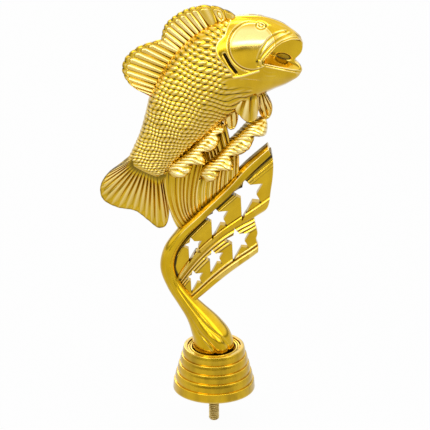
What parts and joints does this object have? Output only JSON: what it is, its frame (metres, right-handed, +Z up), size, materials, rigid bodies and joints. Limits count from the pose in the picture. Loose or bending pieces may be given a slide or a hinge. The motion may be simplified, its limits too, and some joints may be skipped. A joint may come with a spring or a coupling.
{
  "type": "fish figurine award topper",
  "caption": "Gold-plated leaping fish over rope-like wave crests on a fluted twisted stem with a star-pierced ribbon, on a stepped round base with a threaded stud below.",
  "frame": {"origin": "centre of the base's bottom rim, on the face it stands on, on the stud's axis", "axes": "+Z up along the stud's axis, +X towards the fish's mouth, the figure is flat along X and Z and its pictured side faces -Y"},
  "size_m": [0.0981, 0.04, 0.2223],
  "materials": {
    "gold_plastic": "mirror-like metallised gold",
    "zinc_steel": "dull yellow zinc"
  },
  "bodies": {
    "root": {"base_cup": "gold_plastic", "collar_ring": "gold_plastic", "threaded_stud": "zinc_steel", "clamp_washer": "zinc_steel", "clamp_nut": "zinc_steel", "stem_near_half": "gold_plastic", "stem_far_half": "gold_plastic", "fish_near_half": "gold_plastic", "fish_far_half": "gold_plastic", "spiny_dorsal_fin": "gold_plastic", "soft_dorsal_fin": "gold_plastic", "tail_fin": "gold_plastic", "upper_star_panel": "gold_plastic", "lower_star_panel": "gold_plastic", "rear_wave_crest": "gold_plastic", "front_wave_crest": "gold_plastic", "rear_water_skirt": "gold_plastic", "front_water_skirt": "gold_plastic", "near_pectoral_fin": "gold_plastic", "far_pectoral_fin": "gold_plastic", "pelvic_fin": "gold_plastic"}
  },
  "joints": []
}
